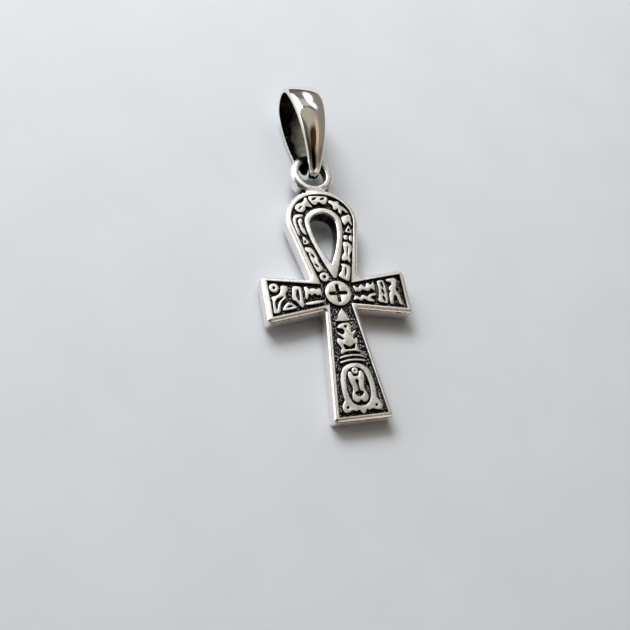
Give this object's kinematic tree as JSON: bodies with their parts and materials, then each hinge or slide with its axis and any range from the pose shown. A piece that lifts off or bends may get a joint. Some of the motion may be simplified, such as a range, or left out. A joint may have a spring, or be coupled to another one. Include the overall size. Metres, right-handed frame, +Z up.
{
  "type": "ankh pendant",
  "caption": "Flat cast ankh charm with raised signs on a dark sunk ground, held by a round eye on a tapered teardrop bail that a chain runs through.",
  "frame": {"origin": "on the table, under the middle of the pendant as it lies on its back", "axes": "+X toward the arm on the right as its face is looked at, +Y from the foot to the bail, +Z up from the table, with the face on that side"},
  "size_m": [0.0152, 0.0372, 0.0062],
  "materials": {
    "cast_silver": "polished silver, its sunk ground oxidised black",
    "polished_silver": "mirror polished silver, oxidised inside"
  },
  "bodies": {
    "ankh": {"ankh": "cast_silver"},
    "bail": {"bail": "polished_silver"}
  },
  "joints": [
    {"name": "bail_swing", "type": "hinge", "parent": "ankh", "child": "bail", "pos_m": [0, 0.01021, 0.00193], "axis": [1, 0, 0], "range_deg": [-110, 70]}
  ]
}
